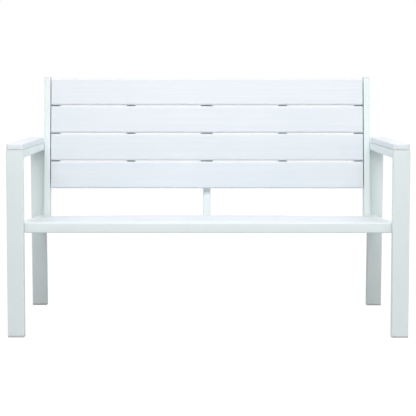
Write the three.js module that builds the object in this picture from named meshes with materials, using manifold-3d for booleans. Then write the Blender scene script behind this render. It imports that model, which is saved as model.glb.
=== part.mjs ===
// A two-seat garden bench: a powder-coated steel tube frame with wood-grained plastic slats.
// Millimetres, +Z up. X runs along the seat and the sitter faces -Y. Z = 0 is the ground, and
// X = Y = 0 is the middle of the bench's footprint. "left" is -X, "right" is +X.
import * as THREE from 'three';
import { mergeVertices } from 'three/addons/utils/BufferGeometryUtils.js';
import Module from 'manifold-3d';

const wasm = await Module();
wasm.setup();

// ---- Driving dimensions ----
const WIDTH = 1205; // over the outer faces of the legs
const DEPTH = 498; // over the front and rear feet, at the ground
const FIT = 0.3; // clearance kept wherever two pieces touch

const WALL = 1.5; // wall of every steel tube
const TUBE_CORNER = 3; // outer corner radius of the tubes
const CORNER_STEPS = 2; // curve segments in a rounded corner; three.js makes four facets of them

const LEG_WIDTH = 50; // along X, the same on the legs and the arm rail
const LEG_DEPTH = 25; // along Y on the legs, along Z on the arm rail
const ARM_RAIL_TOP = 565;
const REAR_LEG_RAKE = THREE.MathUtils.degToRad(1.9); // the rear legs run back as they go down

const ARM_SLAT_THICKNESS = 19;
const ARM_SLAT_LENGTH = 440;
const ARM_SLAT_CORNER = 9;
const ARM_SLAT_EDGE = 3;
const ARM_SCREW_INSET = 70; // from each end of the arm slat

const FOOT_FLANGE = 5; // the part of a foot cap that shows under the tube
const CAP_FLANGE = 2.5; // the part that shows on the caps of the back's tubes
const FOOT_PLUG = 16; // how far a foot cap's plug goes up the leg
const CAP_PLUG = 5; // the same on the plugs that close the back's tubes
const PLUG_CORNER = 1; // corner radius outside a plug
const PLUG_BORE_CORNER = 0.5; // and inside it

const SEAT_TOP = 344; // top of the seat at its front edge
const SEAT_TILT = THREE.MathUtils.degToRad(4); // the seat falls towards the back
const SEAT_FRAME_HEIGHT = 30;
const FRONT_RAIL_DEPTH = 20;
const SIDE_RAIL_WIDTH = 25;
const REAR_RAIL_DEPTH = 25;
const END_PLATE = 2;

const SLAT_THICKNESS = 18;
const SLAT_EDGE = 6; // radius on the slats' long edges
const SLAT_GAP = 3.2;
const SLATS = 4; // in the seat, and again in the back
const SEAT_SLAT_WIDTH = 88;
const SEAT_SLAT_FRONT_GAP = 1; // between the front rail and the first slat
const SEAT_CROWN = 4; // the seat slats rise this much at mid-length
const CROWN_STEPS = 8;
const SEAT_BEARER_HEIGHT = 11;

const BACK_LEAN = THREE.MathUtils.degToRad(5.43);
const BACK_FOOT = 412.6; // front face of the uprights behind the legs' front, at BACK_FOOT_Z
const BACK_FOOT_Z = 320;
const BACK_TOP = 788;
const UPRIGHT_WIDTH = 20;
const UPRIGHT_DEPTH = 40;
const UPRIGHT_BELOW = 34; // how far the uprights reach below BACK_FOOT_Z
const BACK_SLAT_WIDTH = 91;
const BACK_SLAT_BOTTOM = 411; // lower edge of the lowest back slat
const BACK_SLAT_SIDE_GAP = 3; // between a slat's end and the upright
const BACK_SLAT_SETBACK = 1; // behind the uprights' front face
const BATTEN_THICKNESS = 4;
const BATTEN_END_INSET = 12; // from the outermost slat edges
const POST_SIZE = 25;
const POST_TOP = 702;

const END_SUPPORT_WIDTH = 32; // the battens and bearers at the slats' ends
const QUARTER_SUPPORT_WIDTH = 30;
const QUARTER_SUPPORT_X = 258.5;
const CENTRE_SUPPORT_WIDTH = 42;

const BOLT_SHANK = 8;
const BOLT_HEAD = 14;
const BOLT_HEAD_HEIGHT = 4.4;
const BOLT_HEAD_RIM = 0.8; // height of the straight rim under the head's dome
const BOLT_HEAD_FLAT = 3.6; // radius of the flat round the socket
const BOLT_DOME_STEPS = 4;
const BOLT_CHAMFER = 0.7; // at the tip
const BOLT_SOCKET = 5; // across the flats of the hexagon socket
const BOLT_SOCKET_DEPTH = 2.6;
const BOLT_TIP = 2; // how far a bolt stands out of its nut
const UPPER_BOLT_Z = 527; // the bolt from each upright into its rear leg
const UPPER_BOLT_BACK = 465.5; // behind the front legs' front face
const LOWER_BOLT_UP = -17.5; // along the upright, from BACK_FOOT_Z
const NUT_FLATS = 13;
const NUT_HEIGHT = 6.5;
const SCREW_SHANK = 5;
const SCREW_HEAD = 9;
const SCREW_HEAD_HEIGHT = 2.6;
const SCREW_HEAD_FLAT = 2.7; // radius of the flat on the head's outer face
const SCREW_HEAD_SHOULDER = [4.05, 1.8]; // radius and distance from the rail where the dome starts
const SCREW_REACH = 13; // into the plastic of an arm slat
const ROUND_STEPS = 16;

// ---- Derived places ----
const HALF = WIDTH / 2;
const FRONT_Y = -DEPTH / 2; // front face of the front legs
const LEG_X = HALF - LEG_WIDTH / 2;
const LEG_INNER = HALF - LEG_WIDTH;
const RAIL_BOTTOM = ARM_RAIL_TOP - LEG_DEPTH;
const REAR_FOOT_FRONT = FRONT_Y + DEPTH - LEG_DEPTH / Math.cos(REAR_LEG_RAKE);
const UPRIGHT_INNER = LEG_INNER - FIT - UPRIGHT_WIDTH;
const UPRIGHT_X = UPRIGHT_INNER + UPRIGHT_WIDTH / 2;
const SIDES = [['left', -1], ['right', 1]];

// ---- Finishes ----
const steel = { color: 0xeef3f0, roughness: 0.45, metalness: 0.1 };
const slatPlastic = { color: 0xf0f4fa, roughness: 0.6, metalness: 0 };
const capPlastic = { color: 0xc9cfcc, roughness: 0.65, metalness: 0 };
const zincSteel = { color: 0xb9bcbd, roughness: 0.35, metalness: 0.9 };

const bench = new THREE.Group();

function addMesh(parent, name, geometry, finish, position = [0, 0, 0]) {
  const mesh = new THREE.Mesh(geometry, new THREE.MeshStandardMaterial(finish));
  mesh.name = name;
  mesh.position.set(...position);
  parent.add(mesh);
  return mesh;
}

// ---- Shapes ----
function roundedRectangle(path, width, depth, radius) {
  const x = width / 2 - radius;
  const y = depth / 2 - radius;
  path.moveTo(x, -depth / 2);
  path.absarc(x, -y, radius, -Math.PI / 2, 0);
  path.absarc(x, y, radius, 0, Math.PI / 2);
  path.absarc(-x, y, radius, Math.PI / 2, Math.PI);
  path.absarc(-x, -y, radius, Math.PI, Math.PI * 1.5);
  path.closePath();
  return path;
}

function extrude(shape, length, options = {}) {
  return new THREE.ExtrudeGeometry(shape, {
    depth: length,
    bevelEnabled: false,
    curveSegments: CORNER_STEPS,
    ...options,
  });
}

// A solid bar of rounded rectangular section, from z = 0 to z = length.
function bar(width, depth, length, radius, options) {
  return extrude(roundedRectangle(new THREE.Shape(), width, depth, radius), length, options);
}

// A rectangular steel tube with rounded corners, open at both ends, from z = 0 to z = length.
function tube(width, depth, length) {
  const section = roundedRectangle(new THREE.Shape(), width, depth, TUBE_CORNER);
  const bore = roundedRectangle(
    new THREE.Path(), width - 2 * WALL, depth - 2 * WALL, TUBE_CORNER - WALL);
  section.holes.push(bore);
  return extrude(section, length);
}

// Cuts a tube's or bar's ends at a slant: each slope is the rise of that end per unit of y.
function slantEnds(geometry, length, startSlope, endSlope) {
  const at = geometry.attributes.position;
  for (let i = 0; i < at.count; i += 1) {
    const slope = at.getZ(i) > length / 2 ? endSlope : startSlope;
    at.setZ(i, at.getZ(i) + slope * at.getY(i));
  }
  geometry.computeVertexNormals();
  return geometry;
}

// Turns a piece built along z so that it runs along +Y, with its section's y pointing down.
function alongY(geometry) {
  return geometry.rotateX(-Math.PI / 2);
}

// Turns a piece built along z so that it runs along +X, with its section's x pointing down.
function alongX(geometry) {
  return geometry.rotateY(Math.PI / 2);
}

function toSolid(geometry) {
  const bare = geometry.clone();
  bare.deleteAttribute('normal');
  bare.deleteAttribute('uv');
  const merged = mergeVertices(bare, 1e-3);
  return new wasm.Manifold(new wasm.Mesh({
    numProp: 3,
    vertProperties: new Float32Array(merged.attributes.position.array),
    triVerts: new Uint32Array(merged.index.array),
  }));
}

function toGeometry(solid) {
  const mesh = solid.getMesh();
  const geometry = new THREE.BufferGeometry();
  geometry.setAttribute('position', new THREE.BufferAttribute(mesh.vertProperties, 3));
  geometry.setIndex(new THREE.BufferAttribute(mesh.triVerts, 1));
  geometry.computeVertexNormals();
  return geometry;
}

function join(...geometries) {
  return toGeometry(geometries.map(toSolid).reduce((whole, piece) => whole.add(piece)));
}

function cut(geometry, ...cutters) {
  return toGeometry(cutters.map(toSolid).reduce((left, c) => left.subtract(c), toSolid(geometry)));
}

// A round rod along x or z, centred on a point, for drilling holes.
function drill(diameter, length, axis, x, y, z) {
  const rod = new THREE.CylinderGeometry(diameter / 2, diameter / 2, length, ROUND_STEPS);
  if (axis === 'x') rod.rotateZ(Math.PI / 2);
  if (axis === 'z') rod.rotateX(Math.PI / 2);
  return rod.translate(x, y, z);
}

function hexagon(flats, height) {
  const radius = flats / 2 / Math.cos(Math.PI / 6);
  return new THREE.CylinderGeometry(radius, radius, height, 6);
}

// A button-head bolt with a hexagon socket. Its head's underside is at x = 0, the head is on the
// +x side and the shank runs towards -x.
function boltGeometry(reach) {
  const dome = new THREE.Path();
  const rim = BOLT_HEAD / 2;
  dome.moveTo(rim, 0);
  dome.lineTo(rim, BOLT_HEAD_RIM);
  dome.quadraticCurveTo(rim - BOLT_HEAD_RIM, BOLT_HEAD_HEIGHT, BOLT_HEAD_FLAT, BOLT_HEAD_HEIGHT);
  const profile = [
    new THREE.Vector2(0, -reach),
    new THREE.Vector2(BOLT_SHANK / 2 - BOLT_CHAMFER, -reach),
    new THREE.Vector2(BOLT_SHANK / 2, -reach + BOLT_CHAMFER),
    new THREE.Vector2(BOLT_SHANK / 2, 0),
    ...dome.getPoints(BOLT_DOME_STEPS),
    new THREE.Vector2(0, BOLT_HEAD_HEIGHT),
  ];
  const body = new THREE.LatheGeometry(profile, ROUND_STEPS);
  const socket = hexagon(BOLT_SOCKET, BOLT_SOCKET_DEPTH * 2).translate(0, BOLT_HEAD_HEIGHT, 0);
  return cut(body, socket).rotateZ(-Math.PI / 2);
}

function nutGeometry() {
  const bore = new THREE.CylinderGeometry(
    BOLT_SHANK / 2 + FIT, BOLT_SHANK / 2 + FIT, NUT_HEIGHT * 2, ROUND_STEPS);
  return cut(hexagon(NUT_FLATS, NUT_HEIGHT), bore).rotateZ(-Math.PI / 2);
}

// A pan-head screw driven upwards: the head's upper face is at z = 0 and the head hangs below.
function armScrewGeometry(reach) {
  const head = SCREW_HEAD / 2;
  const shank = SCREW_SHANK / 2;
  const [shoulderRadius, shoulderDrop] = SCREW_HEAD_SHOULDER;
  const profile = [
    new THREE.Vector2(0, -SCREW_HEAD_HEIGHT),
    new THREE.Vector2(SCREW_HEAD_FLAT, -SCREW_HEAD_HEIGHT),
    new THREE.Vector2(shoulderRadius, -shoulderDrop),
    new THREE.Vector2(head, 0),
    new THREE.Vector2(shank, 0),
    new THREE.Vector2(shank, reach - shank),
    new THREE.Vector2(0, reach),
  ];
  return new THREE.LatheGeometry(profile, ROUND_STEPS).rotateX(Math.PI / 2);
}

// A plastic cap for the end of a tube at z = 0: a flange below and a plug that goes up the bore.
// The lower face may be slanted, to lie on the ground under a raked leg.
function capGeometry(width, depth, flange, reach, slope) {
  const rim = slantEnds(bar(width, depth, flange - FIT, TUBE_CORNER), flange - FIT, slope, slope);
  const plug = bar(
    width - 2 * WALL - 2 * FIT, depth - 2 * WALL - 2 * FIT, reach + flange / 2, PLUG_CORNER);
  const bore = bar(
    width - 4 * WALL - 2 * FIT, depth - 4 * WALL - 2 * FIT, reach + flange, PLUG_BORE_CORNER);
  return cut(
    join(rim.translate(0, 0, -flange), plug.translate(0, 0, -flange / 2)),
    bore);
}

// ---- The two side portals: front leg, rear leg, arm rail, arm slat and feet ----
const rakeSlope = Math.tan(REAR_LEG_RAKE);
// The rear leg's front and rear faces meet the arm rail's underside and top at these places.
const mitreInnerY = REAR_FOOT_FRONT - RAIL_BOTTOM * rakeSlope;
const mitreOuterY = FRONT_Y + DEPTH - ARM_RAIL_TOP * rakeSlope;
const rearLegCentre = REAR_FOOT_FRONT + LEG_DEPTH / 2 / Math.cos(REAR_LEG_RAKE);

// The upper bolt goes through the upright into the rear leg, where the two lie side by side.
const upperBoltY = FRONT_Y + UPPER_BOLT_BACK;

function frontLeg(side) {
  const length = RAIL_BOTTOM + LEG_DEPTH / 2 - FOOT_FLANGE;
  const leg = slantEnds(tube(LEG_WIDTH, LEG_DEPTH, length), length, 0, -1);
  return leg.translate(side * LEG_X, FRONT_Y + LEG_DEPTH / 2, FOOT_FLANGE);
}

function rearLeg(side) {
  const cos = Math.cos(REAR_LEG_RAKE);
  const sin = Math.sin(REAR_LEG_RAKE);
  // Distances up the leg's own axis, from the ground under its middle.
  const along = (y, z) => z * cos - (y - rearLegCentre) * sin;
  const inner = along(mitreInnerY, RAIL_BOTTOM);
  const outer = along(mitreOuterY, ARM_RAIL_TOP);
  const start = FOOT_FLANGE / cos;
  const length = (inner + outer) / 2 - start;
  const leg = slantEnds(
    tube(LEG_WIDTH, LEG_DEPTH, length), length, -rakeSlope, (outer - inner) / LEG_DEPTH);
  leg.translate(0, 0, start).rotateX(REAR_LEG_RAKE).translate(side * LEG_X, rearLegCentre, 0);
  const hole = drill(
    BOLT_SHANK + 2 * FIT, LEG_WIDTH, 'x', side * LEG_INNER, upperBoltY, UPPER_BOLT_Z);
  return cut(leg, hole);
}

function armRail(side) {
  const frontMid = FRONT_Y + LEG_DEPTH / 2;
  const rearMid = (mitreInnerY + mitreOuterY) / 2;
  const length = rearMid - frontMid - 2 * FIT;
  const rearSlope = (mitreInnerY - mitreOuterY) / LEG_DEPTH;
  const rail = alongY(slantEnds(tube(LEG_WIDTH, LEG_DEPTH, length), length, 1, rearSlope));
  rail.translate(side * LEG_X, frontMid + FIT, RAIL_BOTTOM + LEG_DEPTH / 2);
  const holes = armScrewYs().map((y) => drill(
    SCREW_SHANK + 2 * FIT, LEG_DEPTH * 2, 'z', side * LEG_X, y, RAIL_BOTTOM + LEG_DEPTH / 2));
  return cut(rail, ...holes);
}

function armScrewYs() {
  return [FRONT_Y + ARM_SCREW_INSET, FRONT_Y + ARM_SLAT_LENGTH - ARM_SCREW_INSET];
}

function armSlat(side) {
  const thickness = ARM_SLAT_THICKNESS - FIT - 2 * ARM_SLAT_EDGE;
  const core = bar(
    LEG_WIDTH - 2 * ARM_SLAT_EDGE,
    ARM_SLAT_LENGTH - 2 * ARM_SLAT_EDGE,
    thickness,
    ARM_SLAT_CORNER - ARM_SLAT_EDGE,
    { bevelEnabled: true, bevelSize: ARM_SLAT_EDGE, bevelThickness: ARM_SLAT_EDGE, bevelSegments: 3 },
  );
  const bottom = ARM_RAIL_TOP + FIT;
  core.translate(side * LEG_X, FRONT_Y + ARM_SLAT_LENGTH / 2, bottom + ARM_SLAT_EDGE);
  const pilots = armScrewYs().map((y) => drill(
    SCREW_SHANK + 2 * FIT, 2 * (SCREW_REACH + 1), 'z', side * LEG_X, y, bottom));
  return cut(core, ...pilots);
}

for (const [sideName, side] of SIDES) {
  addMesh(bench, `front_leg_${sideName}`, frontLeg(side), steel);
  addMesh(bench, `rear_leg_${sideName}`, rearLeg(side), steel);
  addMesh(bench, `arm_rail_${sideName}`, armRail(side), steel);
  addMesh(bench, `arm_slat_${sideName}`, armSlat(side), slatPlastic);
  const frontFoot = capGeometry(LEG_WIDTH, LEG_DEPTH, FOOT_FLANGE, FOOT_PLUG, 0);
  addMesh(bench, `front_foot_cap_${sideName}`, frontFoot, capPlastic,
    [side * LEG_X, FRONT_Y + LEG_DEPTH / 2, FOOT_FLANGE]);
  const rearFoot = capGeometry(LEG_WIDTH, LEG_DEPTH, FOOT_FLANGE, FOOT_PLUG, -rakeSlope);
  const rear = addMesh(bench, `rear_foot_cap_${sideName}`, rearFoot, capPlastic, [
    side * LEG_X,
    rearLegCentre - FOOT_FLANGE * rakeSlope,
    FOOT_FLANGE,
  ]);
  rear.rotation.x = REAR_LEG_RAKE;
  armScrewYs().forEach((y, i) => {
    const place = ['front', 'rear'][i];
    addMesh(bench, `arm_screw_${place}_${sideName}`, armScrewGeometry(LEG_DEPTH + SCREW_REACH),
      zincSteel, [side * LEG_X, y, RAIL_BOTTOM - FIT]);
  });
}

// ---- The seat: a tilted group whose origin is the middle of the frame's top front edge ----
const seat = new THREE.Group();
seat.position.set(0, FRONT_Y + LEG_DEPTH + FIT, SEAT_TOP);
seat.rotation.x = -SEAT_TILT;
bench.add(seat);
seat.updateMatrixWorld(true);

// ---- The back: a leaning group whose origin lies between the uprights' front faces ----
const back = new THREE.Group();
back.position.set(0, FRONT_Y + BACK_FOOT, BACK_FOOT_Z);
back.rotation.x = -BACK_LEAN;
bench.add(back);
back.updateMatrixWorld(true);

const frameMiddle = -SEAT_FRAME_HEIGHT / 2;
const seatSlatStart = FRONT_RAIL_DEPTH + SEAT_SLAT_FRONT_GAP;
const seatSlatPitch = SEAT_SLAT_WIDTH + SLAT_GAP;
const rearRailFront = seatSlatStart + SLATS * seatSlatPitch;
const frontBolt = new THREE.Vector3(0, FRONT_RAIL_DEPTH / 2, frameMiddle);
const lowerBoltInBack = new THREE.Vector3(0, UPRIGHT_DEPTH / 2, LOWER_BOLT_UP);
const lowerBolt = seat.worldToLocal(back.localToWorld(lowerBoltInBack.clone()));
const upperBoltInBack = back.worldToLocal(new THREE.Vector3(0, upperBoltY, UPPER_BOLT_Z));

function frontRail() {
  const length = 2 * (LEG_INNER - FIT);
  const plate = () => bar(SEAT_FRAME_HEIGHT, FRONT_RAIL_DEPTH, END_PLATE, TUBE_CORNER);
  const closed = join(
    tube(SEAT_FRAME_HEIGHT, FRONT_RAIL_DEPTH, length),
    plate(),
    plate().translate(0, 0, length - END_PLATE),
  );
  const rail = alongX(closed).translate(-length / 2, frontBolt.y, frameMiddle);
  const bore = drill(BOLT_SHANK + 2 * FIT, length * 2, 'x', 0, frontBolt.y, frontBolt.z);
  return cut(rail, bore);
}

function rearRail() {
  const length = 2 * (UPRIGHT_INNER - FIT);
  const rail = alongX(tube(SEAT_FRAME_HEIGHT, REAR_RAIL_DEPTH, length));
  return rail.translate(-length / 2, rearRailFront + REAR_RAIL_DEPTH / 2, frameMiddle);
}

// The side rail runs from the front leg's back face to the rear leg's front face, and its ends
// are cut to lie flat on both.
function sideRail(side) {
  const onRearLeg = seat.worldToLocal(
    new THREE.Vector3(0, REAR_FOOT_FRONT - SEAT_TOP * rakeSlope, SEAT_TOP));
  const rearSlope = Math.tan(SEAT_TILT + REAR_LEG_RAKE);
  const frontSlope = Math.tan(SEAT_TILT);
  const start = -frameMiddle * frontSlope;
  const end = onRearLeg.y + (onRearLeg.z - frameMiddle) * rearSlope - FIT;
  const length = end - start;
  const rail = alongY(slantEnds(
    tube(SIDE_RAIL_WIDTH, SEAT_FRAME_HEIGHT, length), length, frontSlope, rearSlope));
  const x = side * (LEG_INNER + SIDE_RAIL_WIDTH / 2);
  rail.translate(x, start, frameMiddle);
  const holes = [frontBolt, lowerBolt].map((at) => drill(
    BOLT_SHANK + 2 * FIT, SIDE_RAIL_WIDTH * 2, 'x', x, at.y, at.z));
  return cut(rail, ...holes);
}

function crown(x) {
  return SEAT_CROWN * (1 - (x / LEG_INNER) ** 2);
}

function seatSlat(index) {
  const length = 2 * (LEG_INNER - FIT);
  const slat = alongX(
    bar(SLAT_THICKNESS, SEAT_SLAT_WIDTH, length, SLAT_EDGE, { steps: CROWN_STEPS }));
  const y = seatSlatStart + index * seatSlatPitch + SEAT_SLAT_WIDTH / 2;
  slat.translate(-length / 2, y, -SLAT_THICKNESS / 2);
  const at = slat.attributes.position;
  for (let i = 0; i < at.count; i += 1) {
    at.setZ(i, at.getZ(i) + crown(at.getX(i)));
  }
  return slat;
}

// A flat tube that carries the slats, from the front rail to a place near the rear rail.
function seatBearer(x, width, rear) {
  const length = rear - FRONT_RAIL_DEPTH - FIT;
  const bearer = alongY(tube(width, SEAT_BEARER_HEIGHT, length));
  const top = crown(Math.abs(x) + width / 2) - SLAT_THICKNESS - FIT;
  return bearer.translate(x, FRONT_RAIL_DEPTH + FIT, top - SEAT_BEARER_HEIGHT / 2);
}

addMesh(seat, 'seat_front_rail', frontRail(), steel);
addMesh(seat, 'seat_rear_rail', rearRail(), steel);
addMesh(seat, 'seat_bearer_centre',
  seatBearer(0, CENTRE_SUPPORT_WIDTH, rearRailFront - FIT), steel);
for (const [sideName, side] of SIDES) {
  addMesh(seat, `seat_side_rail_${sideName}`, sideRail(side), steel);
  addMesh(seat, `seat_bearer_quarter_${sideName}`,
    seatBearer(side * QUARTER_SUPPORT_X, QUARTER_SUPPORT_WIDTH, rearRailFront - FIT), steel);
  const endX = LEG_INNER - FIT - END_SUPPORT_WIDTH / 2;
  addMesh(seat, `seat_bearer_end_${sideName}`,
    seatBearer(side * endX, END_SUPPORT_WIDTH, rearRailFront - SLAT_GAP * 2), steel);
}
for (let i = 0; i < SLATS; i += 1) {
  addMesh(seat, `seat_slat_${i + 1}`, seatSlat(i), slatPlastic);
}

// ---- The back's pieces ----
const backTop = (BACK_TOP - BACK_FOOT_Z) / Math.cos(BACK_LEAN);
const backSlatBottom = (BACK_SLAT_BOTTOM - BACK_FOOT_Z) / Math.cos(BACK_LEAN);
const backSlatPitch = BACK_SLAT_WIDTH + SLAT_GAP;
const backSlatTop = backSlatBottom + SLATS * backSlatPitch - SLAT_GAP;
const battenFront = BACK_SLAT_SETBACK + SLAT_THICKNESS + FIT;
const postFront = battenFront + BATTEN_THICKNESS + FIT;
const postTop = (POST_TOP - BACK_FOOT_Z) / Math.cos(BACK_LEAN);

function upright(side) {
  const bottom = CAP_FLANGE - UPRIGHT_BELOW;
  const length = backTop - CAP_FLANGE - bottom;
  const x = side * UPRIGHT_X;
  const post = tube(UPRIGHT_WIDTH, UPRIGHT_DEPTH, length).translate(x, UPRIGHT_DEPTH / 2, bottom);
  const outer = drill(BOLT_SHANK + 2 * FIT, UPRIGHT_WIDTH, 'x',
    side * LEG_INNER, lowerBoltInBack.y, lowerBoltInBack.z);
  const through = drill(BOLT_SHANK + 2 * FIT, UPRIGHT_WIDTH * 2, 'x',
    x, upperBoltInBack.y, upperBoltInBack.z);
  return cut(post, outer, through);
}

function backSlat(index) {
  const length = 2 * (UPRIGHT_INNER - BACK_SLAT_SIDE_GAP);
  const slat = alongX(bar(BACK_SLAT_WIDTH, SLAT_THICKNESS, length, SLAT_EDGE));
  const z = backSlatBottom + index * backSlatPitch + BACK_SLAT_WIDTH / 2;
  return slat.translate(-length / 2, BACK_SLAT_SETBACK + SLAT_THICKNESS / 2, z);
}

function batten(x, width) {
  const length = backSlatTop - backSlatBottom - 2 * BATTEN_END_INSET;
  const strip = bar(width, BATTEN_THICKNESS, length, BATTEN_THICKNESS / 4);
  return strip.translate(
    x, battenFront + BATTEN_THICKNESS / 2, backSlatBottom + BATTEN_END_INSET);
}

function centrePost() {
  const bottom = CAP_FLANGE - UPRIGHT_BELOW;
  const length = postTop - CAP_FLANGE - bottom;
  return tube(POST_SIZE, POST_SIZE, length).translate(0, postFront + POST_SIZE / 2, bottom);
}

// Adds a closing cap below a tube's lower end, or turned over above its upper end.
function addTubeCap(name, width, depth, x, y, z, upsideDown) {
  const cap = addMesh(
    back, name, capGeometry(width, depth, CAP_FLANGE, CAP_PLUG, 0), capPlastic, [x, y, z]);
  if (upsideDown) cap.rotation.x = Math.PI;
}

for (const [sideName, side] of SIDES) {
  addMesh(back, `back_upright_${sideName}`, upright(side), steel);
  addTubeCap(`upright_top_cap_${sideName}`, UPRIGHT_WIDTH, UPRIGHT_DEPTH,
    side * UPRIGHT_X, UPRIGHT_DEPTH / 2, backTop - CAP_FLANGE, true);
  addTubeCap(`upright_bottom_cap_${sideName}`, UPRIGHT_WIDTH, UPRIGHT_DEPTH,
    side * UPRIGHT_X, UPRIGHT_DEPTH / 2, CAP_FLANGE - UPRIGHT_BELOW, false);
  addMesh(back, `back_batten_end_${sideName}`,
    batten(side * (UPRIGHT_INNER - FIT - END_SUPPORT_WIDTH / 2), END_SUPPORT_WIDTH), steel);
  addMesh(back, `back_batten_quarter_${sideName}`,
    batten(side * QUARTER_SUPPORT_X, QUARTER_SUPPORT_WIDTH), steel);
}
addMesh(back, 'back_batten_centre', batten(0, CENTRE_SUPPORT_WIDTH), steel);
addMesh(back, 'back_centre_post', centrePost(), steel);
addTubeCap('post_top_cap', POST_SIZE, POST_SIZE,
  0, postFront + POST_SIZE / 2, postTop - CAP_FLANGE, true);
addTubeCap('post_bottom_cap', POST_SIZE, POST_SIZE,
  0, postFront + POST_SIZE / 2, CAP_FLANGE - UPRIGHT_BELOW, false);
for (let i = 0; i < SLATS; i += 1) {
  addMesh(back, `back_slat_${i + 1}`, backSlat(i), slatPlastic);
}

// ---- Bolts and nuts. Each bolt lies along X, with its head facing outwards or inwards ----
function addBolt(parent, name, headX, at, facing, reach) {
  const bolt = addMesh(parent, name, boltGeometry(reach), zincSteel, [headX, at.y, at.z]);
  if (facing < 0) bolt.rotation.z = Math.PI;
}

function addNut(parent, name, x, at) {
  addMesh(parent, name, nutGeometry(), zincSteel, [x, at.y, at.z]);
}

const boltPast = NUT_HEIGHT + BOLT_TIP; // what a bolt reaches beyond the wall that its nut is on
const sideRailOuter = LEG_INNER + SIDE_RAIL_WIDTH;
for (const [sideName, side] of SIDES) {
  const plateInner = LEG_INNER - FIT - END_PLATE;
  addBolt(seat, `front_rail_bolt_${sideName}`, side * (sideRailOuter + FIT), frontBolt, side,
    sideRailOuter - plateInner + boltPast);
  addNut(seat, `front_rail_nut_${sideName}`,
    side * (plateInner - FIT - NUT_HEIGHT / 2), frontBolt);

  const uprightWallInner = LEG_INNER - FIT - WALL;
  addBolt(seat, `lower_back_bolt_${sideName}`, side * (sideRailOuter + FIT), lowerBolt, side,
    sideRailOuter - uprightWallInner + boltPast);
  addNut(back, `lower_back_nut_${sideName}`,
    side * (uprightWallInner - FIT - NUT_HEIGHT / 2), lowerBoltInBack);

  const legWallInner = LEG_INNER + WALL;
  addBolt(back, `upper_back_bolt_${sideName}`, side * (UPRIGHT_INNER - FIT), upperBoltInBack,
    -side, legWallInner - UPRIGHT_INNER + boltPast);
  addNut(back, `upper_back_nut_${sideName}`,
    side * (legWallInner + FIT + NUT_HEIGHT / 2), upperBoltInBack);
}

export default bench;
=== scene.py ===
import math

import bmesh
import bpy
import numpy as np
from mathutils import Matrix, Vector


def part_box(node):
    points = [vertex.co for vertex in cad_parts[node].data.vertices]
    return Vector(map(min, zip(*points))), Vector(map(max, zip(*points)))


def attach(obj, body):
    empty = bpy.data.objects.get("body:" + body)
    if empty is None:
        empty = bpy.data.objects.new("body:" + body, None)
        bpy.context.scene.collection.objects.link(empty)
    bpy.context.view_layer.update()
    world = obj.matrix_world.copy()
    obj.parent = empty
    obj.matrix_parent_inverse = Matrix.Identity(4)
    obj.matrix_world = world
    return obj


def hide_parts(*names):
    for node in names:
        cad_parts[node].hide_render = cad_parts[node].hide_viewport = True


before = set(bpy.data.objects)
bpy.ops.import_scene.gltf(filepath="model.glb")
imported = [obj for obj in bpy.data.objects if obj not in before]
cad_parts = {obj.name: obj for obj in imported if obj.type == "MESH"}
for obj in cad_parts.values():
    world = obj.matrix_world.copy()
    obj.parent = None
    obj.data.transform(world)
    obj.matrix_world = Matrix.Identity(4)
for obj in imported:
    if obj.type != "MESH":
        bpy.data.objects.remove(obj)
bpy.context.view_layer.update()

# ---- Camera ----
CAMERA_PLACE = (-0.0265, -3.3569, 0.7484)
CAMERA_PITCH = math.radians(3.354)  # below the horizon
CAMERA_YAW = math.radians(0.24)
CAMERA_LENS = 90.53  # on a sensor 36 mm wide
CAMERA_SHIFT = (0.0319, -0.14)

# ---- Shapes ----
SEAT_TILT = math.radians(-4.0)  # the seat's pieces are straight in a frame turned by this about X
BACK_TILT = math.radians(-5.43)
LEG_TILT = math.radians(1.9)  # the rear legs' frame
LEVEL = 0.0

WALL = 0.0015  # wall of the steel tubes
TUBE_RADIUS = 0.003  # outer corner radius of the tubes
CORNER_CUTS = 6  # facets in a quarter turn
END_EASE = 0.0003  # the small chamfer on a cut tube's end
SLAT_EDGE = 0.006  # radius of the long edges of the seat and back slats
SLAT_END = 0.0012  # radius round their ends
SEAT_CROWN = 0.004  # the seat slats rise this much at mid-length
GRAIN_LINE = 0.0014  # spacing of the embossed grain lines
GRAIN_STEP = 0.006  # spacing of the points along a grain line
GRAIN_DEPTH = 0.00009
GRAIN_CLIP = 2.2  # the grain's strongest lines, in standard deviations
GRAIN_SINK = 0.00004  # keeps the grain under the CAD's faces
GRAIN_FADE = 0.004  # the grain fades out over this much at a slat's ends
WAVE_DEPTH = 0.00012  # slow unevenness of the slats
WAVE_POINTS = 9  # along a slat
ARM_SLAT_EDGE = 0.003
ARM_SLAT_CORNER = 0.009  # corner radius of the arm slats seen from above
STRIP_EDGE = 0.001  # on the flat strips behind the back slats
CAP_SOFT = 0.0012  # radius on the outer edges of the plastic caps
FOOT_FLANGE = 0.0047  # thickness of the part of a foot cap that shows
CAP_FLANGE = 0.0022  # the same on the caps of the back's tubes
PLUG_FIT = 0.0003  # gap between a cap's plug and the tube's bore
PLUG_TAPER = 0.0006
BOLT_SHANK = 0.004  # radii
BOLT_HEAD = 0.007
WASHER = 0.0085
BOLT_HEAD_HEIGHT = 0.0044  # with the washer
BOLT_TIP = 0.0007  # chamfer at the bolt's tip
EASE = 0.0002  # the small chamfers on bolts, washers and screws
BOLT_SOCKET = 0.005  # across its flats
BOLT_ANGLES = np.radians(np.arange(0, 360, 7.5))
SCREW_ANGLES = np.radians([turn + a for turn in (0, 90, 180, 270)
                           for a in (0, 14.036, 17, 22.5, 33, 45, 57, 67.5, 73, 75.964)])
SLAT_SCREW = 0.0034  # head radius of the screws that hold the slats
SLAT_SCREW_HEAD = 0.0021  # height of their heads
SLAT_SCREW_SHANK = 0.0018  # radius
SLAT_SCREW_REACH = 0.004  # how far they go in from the head
ARM_SCREW = 0.0045  # the same for the screws under the arm slats
ARM_SCREW_HEAD = 0.0026
ARM_SCREW_SHANK = 0.0025
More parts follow.
